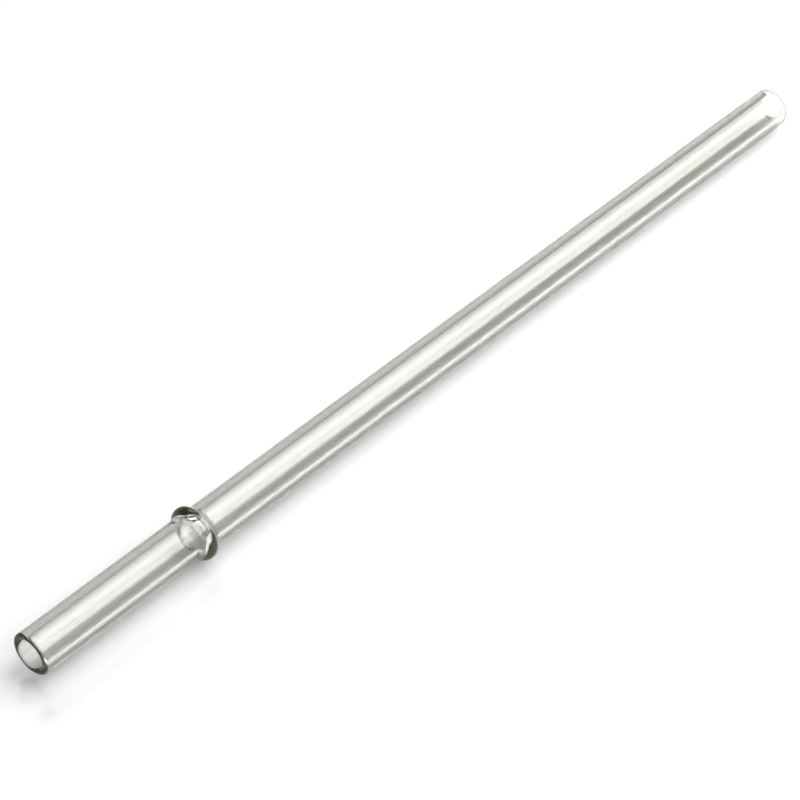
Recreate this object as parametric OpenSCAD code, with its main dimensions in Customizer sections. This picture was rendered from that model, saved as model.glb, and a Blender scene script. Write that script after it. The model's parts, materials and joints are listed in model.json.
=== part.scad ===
// Clear glass connecting tube: a short hose end, a fused stop ring and a long barrel.
// It lies along X. The origin is on the axis in the middle plane of the stop ring,
// +X runs to the barrel's open end and -X to the hose end. Lengths are millimetres.

/* [Tubing] */
// Outside diameter of the glass tubing
tube_d = 12; // [10:0.1:14]
// Wall thickness of the tubing
wall = 2.2; // [1.8:0.1:2.6]
// Length from the hose end's rim to the middle of the stop ring
hose_len = 56.3; // [30:0.1:90]
// Length from the middle of the stop ring to the barrel's rim
barrel_len = 243.7; // [120:0.1:300]

/* [Open ends] */
// Radius of the crest of each fire-polished rim
rim_arc = 0.9; // [0.7:0.1:0.9]
// Radius of the curve that widens the bore towards each rim
mouth_arc = 1.9; // [1.9:0.1:3]

/* [Stop ring] */
// Outside diameter of the stop ring
ring_d = 15.5; // [15:0.1:18]
// Radius of the ring's rounded crest
bead_r = 2; // [1.8:0.1:2.6]
// Radius of the hollows where the ring runs out on the tubing
fillet_r = 2; // [1:0.1:3]
// Depth of the hollow that working the ring leaves in the bore
groove_depth = 1.2; // [0.4:0.1:1.4]
// Length of that hollow along the bore
groove_len = 7.2; // [7:0.1:12]

/* [Hidden] */
tube_r = tube_d / 2;
bore_r = tube_r - wall;
ring_r = ring_d / 2;
mouth_run = sqrt(pow(mouth_arc - rim_arc, 2) - pow(mouth_arc + rim_arc - wall, 2));
seam_margin = 0.3;
groove_r = (pow(groove_len / 2, 2) + pow(groove_depth, 2)) / (4 * groove_depth);
seam = max(reach(ring_r - tube_r, bead_r, fillet_r), groove_len / 2) + seam_margin;
$fn = 96;

// Half the length of a swelling of that height, where its foot arcs meet the wall
function reach(height, crest_arc, foot_arc) =
    sqrt(pow(crest_arc + foot_arc, 2) - pow(crest_arc + foot_arc - height, 2));

// Turns an outline about the tube's axis. In the outline, x is the radius
// and y is the place along the tube.
module turned() {
    rotate([0, 90, 0]) rotate_extrude() children();
}

// A wall from a plain seam to a fire-polished rim: a small crest arc, which a larger
// arc joins smoothly to the bore
module wall_outline(seam, rim) {
    inward = sign(seam - rim);
    crest = [tube_r - rim_arc, rim + inward * rim_arc];
    mouth = [bore_r + mouth_arc, crest[1] + inward * mouth_run];
    past_rim = crest + (crest - mouth);
    inside = min(bore_r, past_rim[0]) - 1;
    translate([bore_r, min(seam, mouth[1])])
        square([wall, abs(seam - mouth[1])]);
    translate(crest)
        circle(rim_arc);
    intersection() {
        translate(mouth)
            circle(mouth_arc);
        polygon([
            [tube_r, mouth[1]],
            [tube_r, crest[1]],
            crest,
            past_rim,
            [inside, past_rim[1]],
            [inside, mouth[1]]
        ]);
    }
}

// A round swelling on a wall of radius flat, filled in down to the radius floor:
// a crest arc between two hollow foot arcs
module swelling(floor, flat, height, crest_arc, foot_arc) {
    half = reach(height, crest_arc, foot_arc);
    crest_centre = flat + height - crest_arc;
    foot_centre = flat + foot_arc;
    below = min(floor, crest_centre) - 1;
    intersection() {
        translate([floor, -half])
            square([flat + height - floor, 2 * half]);
        union() {
            translate([crest_centre, 0])
                circle(crest_arc);
            difference() {
                polygon([
                    [below, -half],
                    [foot_centre, -half],
                    [crest_centre, 0],
                    [foot_centre, half],
                    [below, half]
                ]);
                for (side = [-1, 1])
                    translate([foot_centre, side * half])
                        circle(foot_arc);
            }
        }
    }
}

// Short length that a hose is pushed over, up to the stop ring
module hose_tube() {
    color("gainsboro")
        turned()
            wall_outline(-seam, -hose_len);
}

// Worked length with a solid rounded ring outside and a shallow hollow in the bore
module stop_ring() {
    color("darkseagreen")
        turned()
            difference() {
                union() {
                    translate([bore_r, -seam])
                        square([wall, 2 * seam]);
                    swelling(bore_r, tube_r, ring_r - tube_r, bead_r, fillet_r);
                }
                swelling(bore_r, bore_r, groove_depth, groove_r, groove_r);
            }
}

// Long straight length with an open, fire-polished end
module barrel_tube() {
    color("lightgray")
        turned()
            wall_outline(seam, barrel_len);
}

hose_tube();
stop_ring();
barrel_tube();
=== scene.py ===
"""Looks of the clear glass tube with a stop ring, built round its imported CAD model.

The tube lies on a pale glossy table, held up by its ring and its far rim, in a
studio of soft lights. Lengths are metres.
"""

import json
import math

import bmesh
import bpy
from mathutils import Matrix, Vector


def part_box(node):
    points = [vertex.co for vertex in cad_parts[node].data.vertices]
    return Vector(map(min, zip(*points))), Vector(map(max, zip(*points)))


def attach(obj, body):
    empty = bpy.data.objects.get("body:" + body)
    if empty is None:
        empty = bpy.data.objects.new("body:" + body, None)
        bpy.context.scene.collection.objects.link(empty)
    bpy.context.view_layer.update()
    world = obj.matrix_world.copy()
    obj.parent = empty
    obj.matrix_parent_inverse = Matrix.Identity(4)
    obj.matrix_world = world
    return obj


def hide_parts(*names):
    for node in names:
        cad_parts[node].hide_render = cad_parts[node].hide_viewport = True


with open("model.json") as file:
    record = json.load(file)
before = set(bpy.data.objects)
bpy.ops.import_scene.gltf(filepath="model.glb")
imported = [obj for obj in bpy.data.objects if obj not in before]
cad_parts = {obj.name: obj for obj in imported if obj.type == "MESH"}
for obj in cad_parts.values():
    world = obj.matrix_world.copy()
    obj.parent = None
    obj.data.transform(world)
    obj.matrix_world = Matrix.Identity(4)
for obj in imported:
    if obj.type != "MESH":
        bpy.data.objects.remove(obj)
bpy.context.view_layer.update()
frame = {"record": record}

MM = 0.001

# The frame's own sizes
HOSE_LOW, HOSE_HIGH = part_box("hose_tube")
RING_LOW, RING_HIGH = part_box("stop_ring")
BARREL_LOW, BARREL_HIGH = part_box("barrel_tube")
MOUNTS = {mount["name"]: mount for mount in frame["record"]["mounts"]}
TUBE_R = HOSE_HIGH.z
RING_R = RING_HIGH.z
BORE_R = MOUNTS["passage"]["dims"]["r_mm"] * MM
HOSE_RIM_X = HOSE_LOW.x
HOSE_SEAM_X = HOSE_HIGH.x
BARREL_SEAM_X = BARREL_LOW.x
BARREL_RIM_X = BARREL_HIGH.x

# Sizes of the glass that the frame's boxes don't give. The groove's crest and foot
# arcs have one radius.
RIM_R = 0.9 * MM
MOUTH_R = 1.9 * MM
BEAD_R = 2.0 * MM
FILLET_R = 2.0 * MM
GROOVE_DEPTH = 1.2 * MM
GROOVE_REACH = 3.6 * MM
GROOVE_R = (GROOVE_REACH ** 2 + GROOVE_DEPTH ** 2) / (4 * GROOVE_DEPTH)

# How finely the glass is turned, and how near a seam's plane a face has to lie
TURN_STEPS = 256
RIM_STEPS = 24
FOOT_STEPS = 12
CREST_STEPS = 48
WALL_STEP = 5 * MM
SEAM_TOLERANCE = 0.001 * MM

# The camera, as the tube was seen
CAMERA_AT = Vector((-339.2, -377.0, 505.6)) * MM
CAMERA_AIM = Vector((78.3, 0.74, -7.75)) * MM
SENSOR_WIDTH = 36.0
LENS = 126.9
CLIP_NEAR = 0.01
CLIP_FAR = 50

# The table and the room
TABLE_HALF = 6.0
TABLE_COLOUR = (0.74, 0.74, 0.755)
TABLE_ROUGHNESS = 0.25
TABLE_GLOSS = 1.0
ROOM_LIGHT = 0.045

# Soft lights: angle over the table about the tube's axis, from the viewer's side,
# then distance, width across the tube, length along it, place along it and radiance.
# The softboxes make the white stripes, the back wall and the low fill lift the dark
# bands between them, and the near fill lights the table round the hose end.
SOFT_LIGHTS = {
    "front_softbox": dict(angle=45, distance=1.0, width=0.536, length=1.3, place=0.8, radiance=4.5),
    "overhead_softbox": dict(angle=84, distance=1.0, width=0.728, length=1.3, place=0.8, radiance=5.3),
    "rear_softbox": dict(angle=132, distance=1.0, width=0.425, length=1.3, place=0.8, radiance=2.5),
    "back_wall": dict(angle=172, distance=2.5, width=0.6, length=4.0, place=1.5, radiance=0.42),
    "near_fill": dict(angle=60, distance=1.3, width=1.4, length=1.3, place=-0.7, radiance=1.45),
    "low_fill": dict(angle=14, distance=1.5, width=0.6, length=2.6, place=0.6, radiance=0.45),
}

# The glass. Its texture scales are features per metre along and across the tube.
GLASS_IOR = 1.474
CLEAN_TINT = (0.974, 0.976, 0.971)
DULL_TINT = (0.957, 0.96, 0.95)
# The edge tint is painted shade: it darkens the glass where it is seen edge on, standing in for the
# shadowed table seen through the wall.
EDGE_PAINTED_SHADE = (0.8, 0.806, 0.788)
EDGE_SHADE_STARTS = 0.15
EDGE_SHADE_FULL = 0.5
HAZE_COLOUR = (0.6, 0.58, 0.34)
HAZE_SHARE = 0.035
FAINT_SMUDGE = 0.4
STRONG_SMUDGE = 0.8
LEAST_ROUGHNESS = 0.004
MOST_ROUGHNESS = 0.02
DRAW_LINE_SCALE = (12, 520, 520)
DRAW_LINE_DEPTH = 0.0006 * MM
RIPPLE_SCALE = (90, 90, 90)
RIPPLE_DEPTH = 0.01 * MM
SMUDGE_SCALE = (35, 70, 70)

# How often light may turn. Few mirrorings leave the light caught in the wall dark.
MOST_BOUNCES = 24
MOST_MIRRORINGS = 5


def arc(centre, radius, start, end, steps):
    """Points of an arc in an outline, as (place along the tube, distance from its axis)."""
    points = []
    for step in range(steps + 1):
        angle = math.radians(start + (end - start) * step / steps)
        points.append((centre[0] + radius * math.cos(angle), centre[1] + radius * math.sin(angle)))
    return points


def straight(start, end):
    """Points between two outline points, without the two themselves."""
    steps = max(1, round((Vector(end) - Vector(start)).length / WALL_STEP))
    return [tuple(Vector(start).lerp(Vector(end), step / steps)) for step in range(1, steps)]


def rim_outline(rim_x, inward):
    """A fire-polished rim from the outer wall over its crest and down the widened mouth to the
    bore. inward is +1 or -1 along X."""
    rise = MOUTH_R + RIM_R - (TUBE_R - BORE_R)
    run = math.sqrt((MOUTH_R - RIM_R) ** 2 - rise ** 2)
    crest_x = rim_x + inward * RIM_R
    meeting = 90 + inward * (90 + math.degrees(math.atan2(rise, run)))
    crest = arc((crest_x, TUBE_R - RIM_R), RIM_R, 90, meeting, RIM_STEPS)
    mouth_centre = (crest_x + inward * run, BORE_R + MOUTH_R)
    mouth = arc(mouth_centre, MOUTH_R, meeting, 90 + inward * 180, RIM_STEPS)
    return crest + mouth[1:]


def tube_outline(seam_x, rim_x):
    """The wall of a length of tubing, from its seam to its rim and back along the bore."""
    inward = 1 if seam_x > rim_x else -1
    rim = rim_outline(rim_x, inward)
    outer_seam = (seam_x, TUBE_R)
    inner_seam = (seam_x, BORE_R)
    return (
        [outer_seam] + straight(outer_seam, rim[0]) + rim
        + straight(rim[-1], inner_seam) + [inner_seam]
    )


def swelling(flat_r, crest_r, crest_arc_r, foot_arc_r):
    """A round hump over a straight wall: a hollow foot, the crest about x = 0, and the other foot."""
    rise = crest_arc_r + foot_arc_r - (crest_r - flat_r)
    reach = math.sqrt((crest_arc_r + foot_arc_r) ** 2 - rise ** 2)
    meeting = math.degrees(math.atan2(rise, reach))
    foot_r = flat_r + foot_arc_r
    before = arc((-reach, foot_r), foot_arc_r, -90, -meeting, FOOT_STEPS)
    crest = arc((0, crest_r - crest_arc_r), crest_arc_r, 180 - meeting, meeting, CREST_STEPS)
    after = arc((reach, foot_r), foot_arc_r, 180 + meeting, 270, FOOT_STEPS)
    return before + crest[1:] + after[1:]


def ring_outline():
    """The ring's outline over the bead to the barrel seam, and back along the grooved bore."""
    bead = swelling(TUBE_R, RING_R, BEAD_R, FILLET_R)
    groove = swelling(BORE_R, BORE_R + GROOVE_DEPTH, GROOVE_R, GROOVE_R)
    outer = [(HOSE_SEAM_X, TUBE_R)] + bead + [(BARREL_SEAM_X, TUBE_R)]
    inner = [(BARREL_SEAM_X, BORE_R)] + groove[::-1] + [(HOSE_SEAM_X, BORE_R)]
    return outer + inner


def signed_area(outline):
    """The area inside a closed outline, positive where its points go round anticlockwise."""
    pairs = zip(outline, outline[1:] + outline[:1])
    return sum(x0 * r1 - x1 * r0 for (x0, r0), (x1, r1) in pairs) / 2


def turned_glass(name, outline, seams):
    """Turns a closed outline about X. Faces that lie in a seam's plane get the second material."""
    mesh = bpy.data.meshes.new(name)
    bm = bmesh.new()
    if signed_area(outline) < 0:
        outline = outline[::-1]
    rings = []
    for along, radius in outline:
        ring = []
        for step in range(TURN_STEPS):
            turn = 2 * math.pi * step / TURN_STEPS
            ring.append(bm.verts.new((along, radius * math.cos(turn), radius * math.sin(turn))))
        rings.append(ring)
    for index, ring in enumerate(rings):
        other = rings[(index + 1) % len(rings)]
        in_seam = any(
            abs(ring[0].co.x - seam) < SEAM_TOLERANCE and abs(other[0].co.x - seam) < SEAM_TOLERANCE
            for seam in seams
        )
        for step in range(TURN_STEPS):
            after = (step + 1) % TURN_STEPS
            face = bm.faces.new((ring[step], other[step], other[after], ring[after]))
            face.smooth = True
            face.material_index = 1 if in_seam else 0
    for edge in bm.edges:
        kinds = {face.material_index for face in edge.link_faces}
        edge.smooth = len(kinds) == 1
    bm.to_mesh(mesh)
    bm.free()
    piece = bpy.data.objects.new(name, mesh)
    bpy.context.scene.collection.objects.link(piece)
    return piece


def stretched_noise(tree, scale, detail):
    """Noise over the glass, with its own number of features per metre along each axis."""
    place = tree.nodes.new("ShaderNodeTexCoord")
    stretch = tree.nodes.new("ShaderNodeMapping")
    stretch.inputs["Scale"].default_value = scale
    noise = tree.nodes.new("ShaderNodeTexNoise")
    noise.inputs["Scale"].default_value = 1.0
    noise.inputs["Detail"].default_value = detail
    tree.links.new(place.outputs["Object"], stretch.inputs["Vector"])
    tree.links.new(stretch.outputs["Vector"], noise.inputs["Vector"])
    return noise.outputs["Fac"]


def bumped(tree, height, depth, normal=None):
    """A bump of that depth on the surface, over an earlier bump where there is one."""
    bump = tree.nodes.new("ShaderNodeBump")
    bump.inputs["Strength"].default_value = 1.0
    bump.inputs["Distance"].default_value = depth
    tree.links.new(height, bump.inputs["Height"])
    if normal is not None:
        tree.links.new(normal, bump.inputs["Normal"])
    return bump.outputs["Normal"]


def remapped(tree, value, low, high, low_result, high_result):
    """A value's share of the way from low to high, as a number between the two results."""
    remap = tree.nodes.new("ShaderNodeMapRange")
    remap.inputs["From Min"].default_value = low
    remap.inputs["From Max"].default_value = high
    remap.inputs["To Min"].default_value = low_result
    remap.inputs["To Max"].default_value = high_result
    tree.links.new(value, remap.inputs["Value"])
    return remap.outputs["Result"]


def tint_and_painted_edge_shade(tree, smudges):
    """The glass's tint: a little duller with its smudges, and darker where it is seen edge on, which
    is painted shade standing in for the shadowed table seen through the wall.
    """
    tint = tree.nodes.new("ShaderNodeMix")
    tint.data_type = "RGBA"
    tint.inputs["A"].default_value = (*CLEAN_TINT, 1)
    tint.inputs["B"].default_value = (*DULL_TINT, 1)
    tree.links.new(smudges, tint.inputs["Factor"])

    # Painted shade: the tint darkens where the glass turns edge on to the view.
    facing = tree.nodes.new("ShaderNodeLayerWeight")
    edge = remapped(tree, facing.outputs["Facing"], EDGE_SHADE_STARTS, EDGE_SHADE_FULL, 0, 1)
    edge_shaded_tint = tree.nodes.new("ShaderNodeMix")
    edge_shaded_tint.data_type = "RGBA"
    edge_shaded_tint.inputs["B"].default_value = (*EDGE_PAINTED_SHADE, 1)
    tree.links.new(tint.outputs["Result"], edge_shaded_tint.inputs["A"])
    tree.links.new(edge, edge_shaded_tint.inputs["Factor"])
    return edge_shaded_tint.outputs["Result"]


def clear_glass():
    """Clear borosilicate glass: draw lines along it, flame ripples, smudges and a trace of haze."""
    material = bpy.data.materials.new("clear_glass")
    material.use_nodes = True
    tree = material.node_tree
    tree.nodes.clear()
    draw_lines = stretched_noise(tree, DRAW_LINE_SCALE, detail=2)
    ripples = stretched_noise(tree, RIPPLE_SCALE, detail=1)
    smudges = stretched_noise(tree, SMUDGE_SCALE, detail=4)
    lined = bumped(tree, draw_lines, DRAW_LINE_DEPTH)
    rippled = bumped(tree, ripples, RIPPLE_DEPTH, lined)
    roughness = remapped(
        tree, smudges, FAINT_SMUDGE, STRONG_SMUDGE, LEAST_ROUGHNESS, MOST_ROUGHNESS
    )

    glass = tree.nodes.new("ShaderNodeBsdfGlass")
    glass.inputs["IOR"].default_value = GLASS_IOR
    tree.links.new(tint_and_painted_edge_shade(tree, smudges), glass.inputs["Color"])
    tree.links.new(roughness, glass.inputs["Roughness"])
    tree.links.new(rippled, glass.inputs["Normal"])

    haze = tree.nodes.new("ShaderNodeBsdfDiffuse")
    haze.inputs["Color"].default_value = (*HAZE_COLOUR, 1)
    surface = tree.nodes.new("ShaderNodeMixShader")
    surface.inputs["Fac"].default_value = HAZE_SHARE
    tree.links.new(glass.outputs["BSDF"], surface.inputs[1])
    tree.links.new(haze.outputs["BSDF"], surface.inputs[2])

    output = tree.nodes.new("ShaderNodeOutputMaterial")
    tree.links.new(surface.outputs["Shader"], output.inputs["Surface"])
    return material


def fused_seam():
    """The plane where two pieces are fused: light goes straight through it."""
    material = bpy.data.materials.new("fused_seam")
    material.use_nodes = True
    tree = material.node_tree
    tree.nodes.clear()
    output = tree.nodes.new("ShaderNodeOutputMaterial")
    clear = tree.nodes.new("ShaderNodeBsdfTransparent")
    tree.links.new(clear.outputs["BSDF"], output.inputs["Surface"])
    return material


def table_top():
    """A pale glossy table, tilted so that it touches the ring and the far rim."""
    mesh = bpy.data.meshes.new("table_top")
    corners = [(-1, -1), (1, -1), (1, 1), (-1, 1)]
    mesh.from_pydata([(x * TABLE_HALF, y * TABLE_HALF, 0) for x, y in corners], [], [(0, 1, 2, 3)])
    table = bpy.data.objects.new("table_top", mesh)
    bpy.context.scene.collection.objects.link(table)
    tilt = math.atan2(RING_R - TUBE_R, BARREL_RIM_X)
    table.rotation_euler = (0, -tilt, 0)
    table.location = (0, 0, -RING_R / math.cos(tilt))
    material = bpy.data.materials.new("table_gloss")
    material.use_nodes = True
    surface = material.node_tree.nodes["Principled BSDF"]
    surface.inputs["Base Color"].default_value = (*TABLE_COLOUR, 1)
    surface.inputs["Roughness"].default_value = TABLE_ROUGHNESS
    surface.inputs["Specular IOR Level"].default_value = TABLE_GLOSS
    mesh.materials.append(material)


def soft_light(name, angle, distance, width, length, place, radiance):
    """A rectangular softbox that faces the tube's axis from that angle over the table."""
    data = bpy.data.lights.new(name, "AREA")
    data.shape = "RECTANGLE"
    data.size = length
    data.size_y = width
    data.energy = math.pi * length * width * radiance
    light = bpy.data.objects.new(name, data)
    bpy.context.scene.collection.objects.link(light)
    turn = math.radians(angle)
    outward = Vector((0, -math.cos(turn), math.sin(turn)))
    along = Vector((1, 0, 0))
    axes = Matrix((along, outward.cross(along), outward)).transposed().to_4x4()
    axes.translation = outward * distance + along * place
    light.matrix_world = axes


def room():
    """Faint even light from all round."""
    world = bpy.data.worlds.new("room")
    world.use_nodes = True
    background = world.node_tree.nodes["Background"]
    background.inputs["Color"].default_value = (1, 1, 1, 1)
    background.inputs["Strength"].default_value = ROOM_LIGHT
    bpy.context.scene.world = world


def camera():
    """The camera, held level, at the place the tube was seen from."""
    data = bpy.data.cameras.new("camera")
    data.sensor_width = SENSOR_WIDTH
    data.lens = LENS
    data.clip_start = CLIP_NEAR
    data.clip_end = CLIP_FAR
    viewer = bpy.data.objects.new("camera", data)
    bpy.context.scene.collection.objects.link(viewer)
    viewer.location = CAMERA_AT
    viewer.rotation_euler = (CAMERA_AIM - CAMERA_AT).to_track_quat("-Z", "Y").to_euler()
    bpy.context.scene.camera = viewer


def light_paths():
    """Enough bounces for light to pass through both walls, with none of it cut short."""
    cycles = bpy.context.scene.cycles
    cycles.max_bounces = MOST_BOUNCES
    cycles.transmission_bounces = MOST_BOUNCES
    cycles.transparent_max_bounces = MOST_BOUNCES
    cycles.glossy_bounces = MOST_MIRRORINGS
    cycles.sample_clamp_indirect = 0


def plain_tones():
    """Colours shown as they are, with no film curve."""
    bpy.context.scene.view_settings.view_transform = "Standard"


GLASS = clear_glass()
SEAM = fused_seam()
PIECES = {
    "hose_tube": (tube_outline(HOSE_SEAM_X, HOSE_RIM_X), [HOSE_SEAM_X]),
    "stop_ring": (ring_outline(), [HOSE_SEAM_X, BARREL_SEAM_X]),
    "barrel_tube": (tube_outline(BARREL_SEAM_X, BARREL_RIM_X), [BARREL_SEAM_X]),
}
for node, (outline, seams) in PIECES.items():
    piece = turned_glass(node + "_glass", outline, seams)
    piece.data.materials.append(GLASS)
    piece.data.materials.append(SEAM)
    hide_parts(node)
    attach(piece, "root")

camera()
table_top()
room()
for light_name, light in SOFT_LIGHTS.items():
    soft_light(light_name, **light)
light_paths()
plain_tones()
